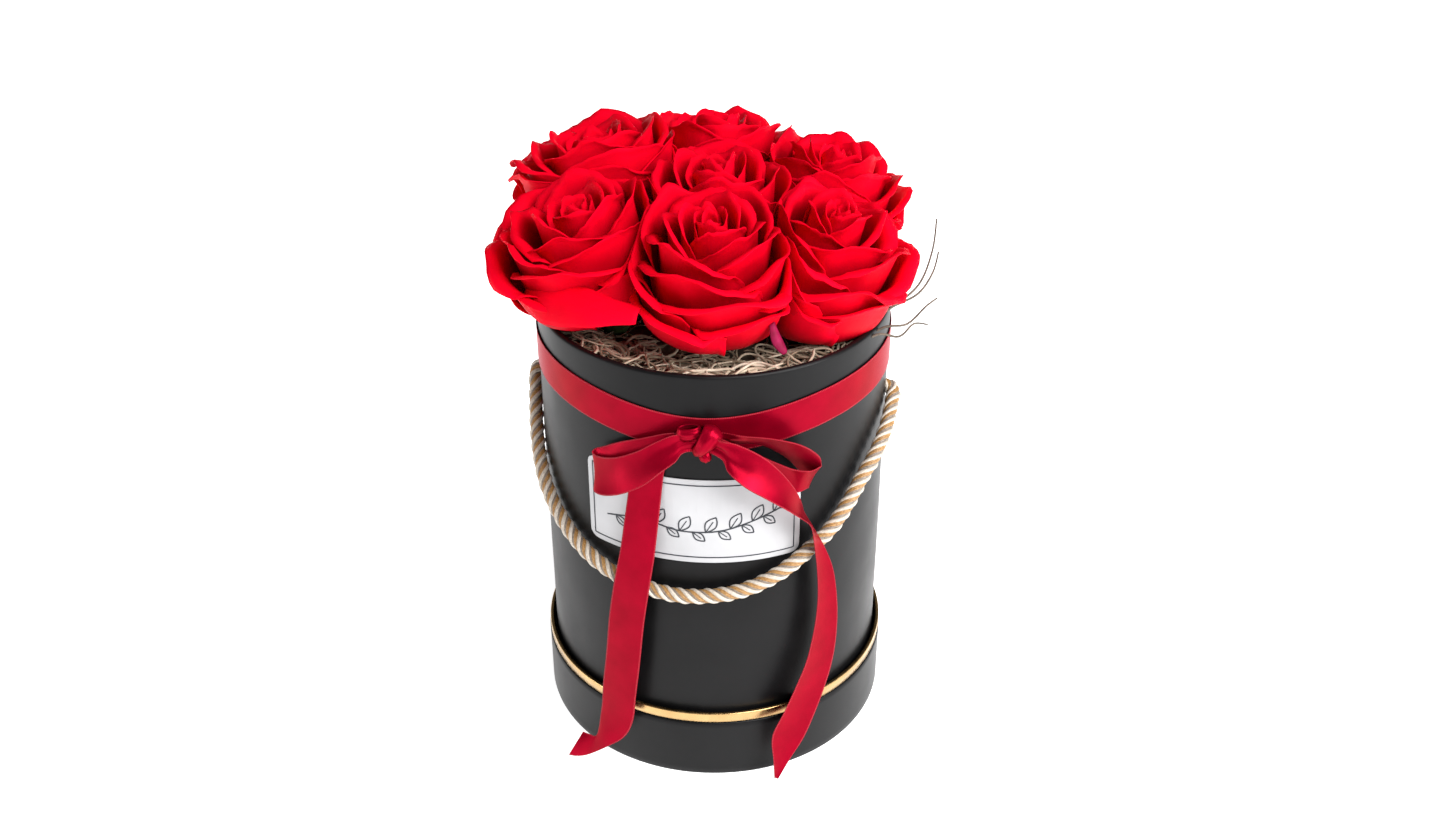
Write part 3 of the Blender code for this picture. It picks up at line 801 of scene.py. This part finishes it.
def ribbon_grid(edges, samples, columns, crown, closed=False):
    """Points across a ribbon between two edge lines, arched a little across its width."""
    first, second = edges
    if samples:
        first, second = through(first, samples), through(second, samples)
    a = np.array([list(p) for p in first])
    b = np.array([list(p) for p in second])
    if closed:
        ahead = np.roll(a + b, -1, axis=0) - np.roll(a + b, 1, axis=0)
    else:
        ahead = np.gradient(a + b, axis=0)
    up = unit(np.cross(ahead, a - b))
    share = np.linspace(0.0, 1.0, columns)
    grid = a[:, None] * (1 - share[None, :, None]) + b[:, None] * share[None, :, None]
    grid += up[:, None] * (crown * MM * 4 * share * (1 - share))[None, :, None]
    return grid


def add_ribbon(name, grid, node, satin, picot, closed=False):
    """One stretch of ribbon with picot edges. Its length runs along the grid's rows."""
    middle = grid[:, grid.shape[1] // 2]
    along = run_along(middle)
    length = along[-1]
    if closed:
        length += np.linalg.norm(middle[0] - middle[-1])
    columns = grid.shape[1]
    sheets = Sheets()
    uv = uv_grid(np.linspace(0.0, 1.0, columns), along / MM)
    sheets.add(grid, closed_rows=closed, uv=uv)
    for i in range(len(sheets.faces)):
        if i % (columns - 1) in (0, columns - 2):
            sheets.slots[i] = 1
    piece = sheets.build(name, [satin, picot], thickness=0.3)
    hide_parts(node)
    return piece, float(length)


def recolumn(grid):
    """Moves the columns of an evenly divided ribbon so that its outer ones are narrow picots."""
    shares = np.concatenate([[0.0], np.linspace(0.035, 0.965, SATIN_COLUMNS - 2), [1.0]])
    even = np.linspace(0.0, 1.0, grid.shape[1])
    rows = [[np.interp(shares, even, axis) for axis in row.T] for row in grid]
    return np.array(rows).transpose(0, 2, 1)


def band_middle(angle):
    """Height of the middle of the ribbon round the box: it dips towards the bow."""
    away = (angle - BOW_ANGLE + 180.0) % 360.0 - 180.0
    return BAND_MIDDLE - BAND_DIP * math.exp(-0.5 * (away / BAND_DIP_SPREAD) ** 2)


def make_band(satin, picot):
    upper, lower = [], []
    for step in range(ROUND):
        angle = 360.0 * step / ROUND + 180.0
        turn = math.radians(angle)
        middle = band_middle(angle)
        ripple = 0.12 * noise.noise(Vector((math.cos(turn), math.sin(turn), 0)) * 6.0)
        upper.append(place(angle, BAND_RADIUS + ripple, middle + RIBBON_WIDTH / 2))
        lower.append(place(angle, BAND_RADIUS - ripple, middle - RIBBON_WIDTH / 2))
    grid = recolumn(ribbon_grid((upper, lower), 0, SATIN_COLUMNS, 0.0, closed=True))
    piece, length = add_ribbon("ribbon_band_satin", grid, "ribbon_band", satin, picot, True)
    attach(piece, "box")


def gathered(table, ends):
    """The rows of a ribbon with a pinched row of its own inside the knot at these ends."""
    middle = KNOT_PLACE
    rows = list(table)
    for end in ends:
        near = rows[end]
        pinched = []
        for side, reach in zip(near, (PINCH, -PINCH)):
            angle = 0.75 * middle[0] + 0.25 * side[0]
            radius = min(0.7 * middle[1] + 0.3 * side[1], 82.0)
            pinched.append((angle, radius, middle[2] + reach))
        rows.insert(0 if end == 0 else len(rows), tuple(pinched))
    return rows


def pleated(grid, ends):
    """Lets a few small pleats run out from the knot, and fade along the ribbon."""
    columns = grid.shape[1]
    ahead = np.gradient(grid[:, columns // 2], axis=0)
    up = unit(np.cross(ahead, grid[:, -1] - grid[:, 0]))
    along = np.cumsum(np.linalg.norm(ahead, axis=1)) / MM
    share = np.linspace(0.0, 1.0, columns)
    wave = np.sin(share * math.tau * 2.0 + 0.6) * np.sin(share * math.pi)
    for end in ends:
        away = along if end == 0 else along[-1] - along
        fade = np.exp(-((away / PLEAT_LENGTH) ** 2)) * smooth_step(away, 0.0, 2.5)
        grid = grid + up[:, None] * (PLEAT * MM * fade[:, None] * wave[None, :])[..., None]
    return grid


def make_bow(satin, picot):
    # rows, crown across the width, and which ends are gathered into the knot
    shapes = {
        "bow_loop_left": (LOOP_LEFT, 0.7, (0, -1)),
        "bow_loop_right": (LOOP_RIGHT, 0.6, (0, -1)),
        "ribbon_tail_left": (TAIL_LEFT, -0.5, (0,)),
        "ribbon_tail_right": (TAIL_RIGHT, -0.5, (0,)),
    }
    for name, (table, crown, ends) in shapes.items():
        rows = gathered(table, ends)
        edges = [[place(*row[side]) for row in rows] for side in (0, 1)]
        grid = pleated(recolumn(ribbon_grid(edges, 8, SATIN_COLUMNS, crown)), ends)
        piece, length = add_ribbon(name + "_satin", grid, name, satin, picot)
        if "tail" in name:
            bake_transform(piece)
        else:
            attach(piece, "box")


def make_knot(satin):
    """The knot: a leaning wrap over the gathered ends, a fold at its left and a lump below."""
    centre = place(*KNOT_PLACE)
    outward = place(BOW_ANGLE, 1.0, 0.0).normalized()
    up = Vector((0.0, 0.0, 1.0))
    right = Vector((-outward.y, outward.x, 0.0))
    sheets = Sheets()
    # turn of the wrap from upright, its middle (right, up, out), half height, depth and half width
    wraps = (
        (34.0, (0.8, 0.6, 0.0), 7.4, 5.0, 3.4, 1.0),
        (82.0, (-5.4, 3.4, -1.6), 5.0, 3.0, 2.6, 0.0),
        (-20.0, (0.8, -6.0, 0.2), 2.6, 2.8, 2.0, 0.3),
    )
    for lean, (to_right, to_up, out), tall, deep, wide, flare in wraps:
        lean = math.radians(lean)
        middle = centre + (right * to_right + up * to_up + outward * out) * MM
        axis_up = up * math.cos(lean) + right * math.sin(lean)
        axis_side = right * math.cos(lean) - up * math.sin(lean)
        around = np.linspace(0.0, math.tau, 40, endpoint=False)[:, None]
        share = np.linspace(-1.0, 1.0, 15)[None, :]
        pleat = 0.22 * np.cos(2.6 * math.pi * share + 1.0 + 0.8 * np.sin(around))
        high = (tall * (1.0 - 0.24 * share**2) + 0.3 * pleat) * np.cos(around)
        thick = (deep * (1.0 - 0.4 * share**2) + 0.6 * pleat) * np.sin(around)
        half = share * (wide + flare * np.cos(around))
        grid = np.stack([high, thick, half], 2) @ np.array([axis_up, outward, axis_side])
        sheets.add(np.array(middle) + grid * MM, closed_rows=True)
    piece = sheets.build("bow_knot_satin", [satin], thickness=0.5)
    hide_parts("bow_knot")
    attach(piece, "box")


# ---- rope


def make_rope(gold, beige, cream):
    """Three two-tone strands with a cream cord between each pair, laid right-handed."""
    route = spaced(through([place(*point) for point in ROPE_ROUTE], 12), 0.9)
    points = np.array([list(p) for p in route])
    ahead = unit(np.gradient(points, axis=0))
    along = run_along(points)
    side = np.cross(ahead[0], (0.0, 0.0, 1.0))
    frames = []
    for direction in ahead:
        side = unit(side - direction * side.dot(direction))
        frames.append((side, np.cross(direction, side)))
    strands = [("core", 0.0, 0.0, 1.9)]
    for group in range(3):
        first = 120.0 * group
        for kind, turn, out, size in ROPE_THREADS:
            strands.append((kind, math.radians(first + turn), out, size))
    sheets = Sheets()
    slots = {"gold": 0, "beige": 1, "cream": 2, "core": 1}
    for kind, phase, out, size in strands:
        path = []
        for point, (first, second), run in zip(points, frames, along):
            turn = phase + math.tau * run / (ROPE_LAY * MM)
            path.append(point + (first * math.cos(turn) + second * math.sin(turn)) * out * MM)
        uv = uv_grid(np.linspace(0, 0.9, 10), along / MM * 0.02)
        sheets.add(tube_grid(path, size, 10), closed_columns=True, slot=slots[kind], uv=uv)
    piece = sheets.build("handle_rope_strands", [gold, beige, cream])
    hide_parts("handle_rope")
    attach(piece, "handle")


# ---- moss and foam


def moss_height(radius):
    """Height of the matted moss at this distance from the middle, in millimetres."""
    return 190.0 + 7.0 * float(smooth_step(radius, 45.0, 66.0))


def make_moss(looks, shade_bed_look):
    """Curly strands in the ring between the roses and the rim, on a rough bed painted dark as the
    shade deep in the tangle.
    """
    rng = random.Random(11)
    profile = [(0.5, 190), (40.0, 190), (52.0, 192), (62.0, 195.5), (68.0, 197), (71.5, 196)]
    grid = lathe([tuple(p) for p in through([Vector(q) for q in profile], 5)], ROUND // 2)
    for row in grid:
        for point in row:
            bumpy = noise.noise(Vector(point) * 260.0) + 0.5 * noise.noise(Vector(point) * 700.0)
            point[2] += 1.8 * MM * bumpy
    bed = Sheets()
    bed.add(grid, closed_columns=True)
    floor = bed.build("moss_matted_bed", [shade_bed_look])
    sheets = Sheets()
    for _ in range(MOSS_STRANDS):
        angle = rng.uniform(0.0, 360.0)
        radius = rng.uniform(40.0, 70.0)
        height = moss_height(radius) + rng.uniform(-1.0, 4.0)
        point = np.array(list(place(angle, radius, height))) / MM
        heading = rng.uniform(0.0, math.tau)
        curl = rng.uniform(-0.5, 0.5)
        pitch = rng.uniform(-0.3, 0.35)
        size = rng.uniform(0.25, 0.6) + 0.25 * rng.random() ** 4
        path = []
        for _ in range(rng.randint(8, 18)):
            path.append(point * MM)
            heading += curl * rng.uniform(0.2, 1.3) + rng.uniform(-0.25, 0.25)
            curl += rng.uniform(-0.12, 0.12)
            pitch += rng.uniform(-0.3, 0.3) - 0.25 * pitch
            way = np.array((math.cos(heading), math.sin(heading), 0.7 * math.sin(pitch)))
            point = point + way * MOSS_STEP
            reach = math.hypot(point[0], point[1])
            limit = MOSS_OUTSIDE - size
            if reach > limit:
                point[0:2] *= limit / reach
                heading += 0.7
            floor_here = moss_height(reach)
            point[2] = min(max(point[2], floor_here - 0.5), floor_here + 6.0)
        path = through([Vector(p) for p in path], 2)
        steps = np.arange(len(path))
        taper = size * np.minimum(1.0, 0.35 + np.minimum(steps, steps[::-1]) / 4)
        sheets.add(tube_grid(path, taper, 5), closed_columns=True, slot=rng.choice((0, 0, 1, 2)))
    for wisp in WISPS:
        path = through([place(*p) for p in wisp], 6)
        taper = np.linspace(0.62, 0.36, len(path))
        sheets.add(tube_grid(path, taper, 5), closed_columns=True, slot=3)
    strands = sheets.build("moss_strands", looks)
    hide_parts("moss_bed")
    for piece in (floor, strands):
        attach(piece, "box")


# ---- roses


# Rings of petals from the bud outwards: petals, half width in degrees, belly radius, rim radius,
# height, depth of the rolled edge, radius it rolls at, how far one side lies outside the next
RINGS = (
    (2, 150.0, 3.2, 2.6, 54.0, 0.8, 1.0, 1.1),
    (3, 105.0, 6.4, 6.0, 55.0, 1.5, 1.1, 1.2),
    (3, 88.0, 10.4, 10.8, 55.5, 2.6, 1.7, 1.5),
    (3, 80.0, 15.2, 16.8, 55.0, 4.4, 2.6, 1.8),
    (4, 66.0, 20.5, 24.0, 53.0, 6.2, 3.6, 2.0),
    (4, 62.0, 25.5, 31.0, 48.5, 7.6, 4.4, 2.2),
    (5, 56.0, 29.0, 36.0, 41.0, 8.5, 5.0, 2.4),
    (5, 52.0, 30.0, 36.0, 31.0, 7.0, 5.0, 2.4),
)
PETAL_ROWS = 20
PETAL_COLUMNS = 23


def petal_grid(rng, half_width, belly, rim, height, depth, curl, lap, middle):
    """A petal of a rose at the origin, in millimetres, and how near each point is to an edge."""
    u = np.linspace(-1.0, 1.0, PETAL_COLUMNS)[None, :]
    v = np.linspace(0.0, 1.0, PETAL_ROWS)[:, None]
    seed = Vector((rng.uniform(0, 90), rng.uniform(0, 90), rng.uniform(0, 90)))
    wavy = np.array([[noise.noise(seed + Vector((2.2 * x, 0, 0))) for x in u[0]]])
    jag = np.array([[noise.noise(seed + Vector((9.0 * x, 5, 0))) for x in u[0]]])
    tip = rng.uniform(0.0, 0.045) * np.exp(-(((u - rng.uniform(-0.2, 0.2)) / 0.16) ** 2))
    top = 1.0 - 0.3 * np.abs(u) ** 3.4 + tip + 0.07 * wavy + 0.022 * jag
    t = v * top
    s = 1.0 - t
    weights = (s**3, 3 * s * s * t, 3 * s * t * t, t**3)
    radius = sum(w * r for w, r in zip(weights, (2.2, 1.3 * belly, 1.04 * belly, rim)))
    up = sum(w * h for w, h in zip(weights, (1.0, 0.02 * height, 0.66 * height, height)))
    radius = radius * (1.0 - 0.08 * np.abs(u) ** 3) + lap * u * smooth_step(v, 0.05, 0.5)
    spread = math.radians(half_width) * (0.35 + 0.65 * smooth_step(v, 0.0, 0.5))
    angle = middle + spread * u
    flat = np.stack([radius * np.sin(angle), -radius * np.cos(angle), up + 0 * u], 2)
    ahead = np.gradient(flat, axis=0)
    sideways = np.gradient(flat, axis=1)
    run_up = np.linalg.norm(ahead, axis=2)
    run_side = np.linalg.norm(sideways, axis=2)
    ahead, sideways = unit(ahead), unit(sideways)
    outward = unit(np.cross(sideways, ahead))
    radial = np.stack([np.sin(angle), -np.cos(angle), 0 * angle], 2)
    outward *= np.sign((outward * radial).sum(2) + 1e-9)[..., None]
    from_top = (run_up[::-1].cumsum(axis=0)[::-1]) - run_up
    left = run_side[:, : PETAL_COLUMNS // 2 + 1].cumsum(axis=1) - run_side[:, :1]
    from_side = np.concatenate([left, left[:, -2::-1]], axis=1)
    more = 0.55 + 0.45 * smooth_step(np.abs(u), 0.0, 0.5) + 0.3 * wavy
    more = more * (1.0 - 0.7 * smooth_step(np.abs(u), 0.68, 1.0))
    rolled = np.clip(depth * more - from_top, 0.0, None)
    bend = np.clip(rolled / curl, 0.0, 2.5)
    shift = outward * (curl * (1 - np.cos(bend)))[..., None]
    shift += ahead * (curl * np.sin(bend) - rolled)[..., None]
    side_deep = 0.5 * depth * smooth_step(v, 0.3, 0.6) * (1.0 - 0.6 * smooth_step(v, 0.75, 1.0))
    side_rolled = np.clip(side_deep - from_side, 0.0, None)
    side_curl = 1.2 * curl
    side_bend = np.clip(side_rolled / side_curl, 0.0, 1.6)
    shift += outward * (side_curl * (1 - np.cos(side_bend)))[..., None]
    shift += sideways * (np.sign(u) * (side_curl * np.sin(side_bend) - side_rolled))[..., None]
    ruffle = np.array(
        [[noise.noise(seed + Vector((3.2 * x, 1.6 * y, 9.0))) for x in u[0]] for y in v[:, 0]]
    )
    ruffle *= 0.264 * min(depth, 5.0) * (0.3 + smooth_step(v, 0.3, 1.0))
    shift += outward * ruffle[..., None]
    # How near each point is to an edge: the mask for the petals' painted shade.
    near = np.minimum(from_top, from_side)
    return flat + shift, np.exp(-np.clip(near, 0.0, None) / PETAL_EDGE)


def rose_axis(angle, reach, height, lean):
    """(base of the head, direction up the rose's axis)."""
    tilt = math.radians(lean)
    outward = place(angle, 1.0, 0.0).normalized()
    up = outward * math.sin(tilt) + Vector((0.0, 0.0, math.cos(tilt)))
    return place(angle, reach, height) - up * HEAD_HEIGHT * MM, up


def press(points, middle, others):
    """Presses the petals back where they would pass the plane half way to a neighbour."""
    for other in others:
        normal = other - middle
        distance = normal.length
        if distance > NEIGHBOUR * MM:
            continue
        normal = np.array(list(normal / distance))
        plane = np.array(list((middle + other) / 2))
        past = (points - plane) @ normal / MM
        given = PRESS_ROOM * (np.tanh((past + PRESS_ROOM) / PRESS_ROOM) - 1.0)
        soft = np.where(past > -PRESS_ROOM, given, past)
        points = points + ((soft - past) * MM)[..., None] * normal
    return points


def make_roses(petal):
    axes = [rose_axis(*rose[1]) for rose in ROSES]
    middles = [base + up * PRESSED_AT * HEAD_HEIGHT * MM for base, up in axes]
    for i, (rose, (base, up)) in enumerate(zip(ROSES, axes)):
        rng = random.Random(40 + i)
        turn = np.array(up.to_track_quat("Z", "Y").to_matrix())
        origin = np.array(list(base))
        others = middles[:i] + middles[i + 1 :]
        sheets = Sheets()
        spin = rng.uniform(0, math.tau)
        for j, (count, half_width, belly, rim, height, depth, curl, lap) in enumerate(RINGS):
            drift = np.array(rose[2]) * MM * j / (len(RINGS) - 1)
            spin += 0.6 * math.pi / count + rng.uniform(-0.15, 0.15)
            for k in range(count):
                middle = spin + math.tau * k / count + rng.uniform(-0.09, 0.09)
                grid, edge = petal_grid(
                    rng,
                    half_width * rng.uniform(0.92, 1.08),
                    belly * rng.uniform(0.97, 1.03),
                    rim * rng.uniform(0.94, 1.06),
                    height * rng.uniform(0.97, 1.02),
                    depth * rng.uniform(0.8, 1.25),
                    curl,
                    lap,
                    middle,
                )
                points = grid * MM @ turn.T + origin + drift
                sheets.add(press(points, middles[i], others), edge=edge)
        head = sheets.build(f"rose_{rose[0]}_petals", [petal], thickness=0.35)
        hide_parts(f"rose_{rose[0]}_head")
        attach(head, "box")


def loose_petal(name, edges, bulge, look):
    """A petal that hangs away from its rose, between an upper and a lower edge."""
    grid = ribbon_grid([[place(*p) for p in edge] for edge in edges], 6, 11, bulge)
    rows = grid.shape[0]
    share = np.linspace(0.0, 1.0, rows)
    narrow = 0.35 + 0.65 * np.sin(np.pi * (0.08 + 0.84 * share)) ** 0.5
    middle = grid.mean(axis=1, keepdims=True)
    grid = middle + (grid - middle) * narrow[:, None, None]
    for row in grid:
        for point in row:
            point += 0.5 * MM * noise.noise(Vector(point) * 120.0)
    # Edge values for the painted shade: the petal turns a little darker along its middle.
    across = np.abs(np.linspace(-1.0, 1.0, grid.shape[1]))[None, :]
    sheets = Sheets()
    sheets.add(grid, edge=(0.6 + 0.4 * across) * np.ones((rows, 1)))
    piece = sheets.build(name, [look], thickness=0.35)
    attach(piece, "box")


# ---- studio


def add_light(name, place_m, aim, size, power):
    data = bpy.data.lights.new(name, "AREA")
    data.shape = "RECTANGLE"
    data.size, data.size_y = size
    data.energy = power
    light = add_object(name, data)
    light.location = place_m
    light.rotation_mode = "QUATERNION"
    light.rotation_quaternion = (Vector(aim) - Vector(place_m)).to_track_quat("-Z", "Y")


def make_studio():
    world = bpy.data.worlds.new("studio")
    world.use_nodes = True
    background = world.node_tree.nodes["Background"]
    background.inputs["Color"].default_value = (1.0, 1.0, 1.0, 1.0)
    background.inputs["Strength"].default_value = WORLD_STRENGTH
    bpy.context.scene.world = world
    bpy.context.scene.view_settings.view_transform = "Standard"
    mesh = bpy.data.meshes.new("studio_floor")
    form = bmesh.new()
    bmesh.ops.create_grid(form, x_segments=1, y_segments=1, size=60.0)
    form.to_mesh(mesh)
    form.free()
    floor = add_object("studio_floor", mesh)
    mesh.materials.append(floor_look())
    sun = bpy.data.lights.new("sun", "SUN")
    sun.energy = SUN_STRENGTH
    sun.angle = math.radians(45)
    lamp = add_object("sun", sun)
    lamp.rotation_mode = "QUATERNION"
    lamp.rotation_quaternion = Vector((0.75, -0.6, 1.0)).to_track_quat("Z", "Y")
    add_light("key_light", (0.86, -0.4, 0.43), (0.0, 0.0, 0.15), (0.25, 0.35), 6.0)
    add_light("left_light", (-0.84, -0.39, 0.3), (0.0, 0.0, 0.15), (0.12, 0.5), 2.0)
    data = bpy.data.cameras.new("camera")
    data.lens = CAMERA_LENS
    data.sensor_width = 36.0
    data.clip_start = 0.01
    camera = add_object("camera", data)
    camera.location = CAMERA_PLACE
    camera.rotation_euler = (math.radians(CAMERA_PITCH), 0.0, math.radians(CAMERA_TURN))
    bpy.context.scene.camera = camera


def dress(node, look):
    """A CAD node whose shape is right, with its own material."""
    for slot in bpy.data.objects[node].material_slots:
        slot.material = look


def main():
    make_studio()
    paper = black_paper()
    gold = gold_foil()
    dark = ink()
    satin, picot = satin_look(), picot_look()
    leaf = leaf_look()
    mosses = [
        moss_look("moss_tan", (0.36, 0.285, 0.2), (0.68, 0.57, 0.43)),
        moss_look("moss_pale", (0.45, 0.37, 0.27), (0.78, 0.68, 0.54)),
        moss_look("moss_brown", (0.14, 0.1, 0.065), (0.34, 0.26, 0.18)),
        moss_look("moss_wisp", (0.05, 0.04, 0.03), (0.16, 0.13, 0.1)),
    ]
    # Painted shade: the bed's dark colour stands for the shaded depths of the moss under the
    # strands.
    moss_bed = moss_look("moss_bed_painted_shade", (0.03, 0.024, 0.018), (0.16, 0.125, 0.09))
    gold_thread = thread_look("gold_thread", (0.13, 0.06, 0.018), (0.5, 0.28, 0.1))
    beige_thread = thread_look("beige_thread", (0.07, 0.055, 0.042), (0.33, 0.27, 0.22))
    cream_thread = thread_look("cream_thread", (0.34, 0.29, 0.235), (0.64, 0.58, 0.5))
    make_box(paper)
    make_lid(paper, gold)
    dress("lid_board", paper)
    dress("box_floor", paper)
    dress("label", label_paper())
    make_label_print(dark)
    make_band(satin, picot)
    make_knot(satin)
    make_bow(satin, picot)
    make_rope(gold_thread, beige_thread, cream_thread)
    for knot in ("handle_knot_left", "handle_knot_right"):
        dress(knot, beige_thread)
    make_moss(mosses, moss_bed)
    dress("floral_foam", foam_look())
    petals = petal_look()
    make_roses(petals)
    loose_petal("front_left_loose_petal", FRONT_LEFT_PETAL, 2.5, petals)
    loose_petal("pink_loose_petal", PINK_PETAL, 1.2, pink_petal_look())
    for rose in ROSES:
        dress(f"rose_{rose[0]}_calyx", leaf)
        dress(f"rose_{rose[0]}_stem", leaf)
    bpy.context.view_layer.update()


main()
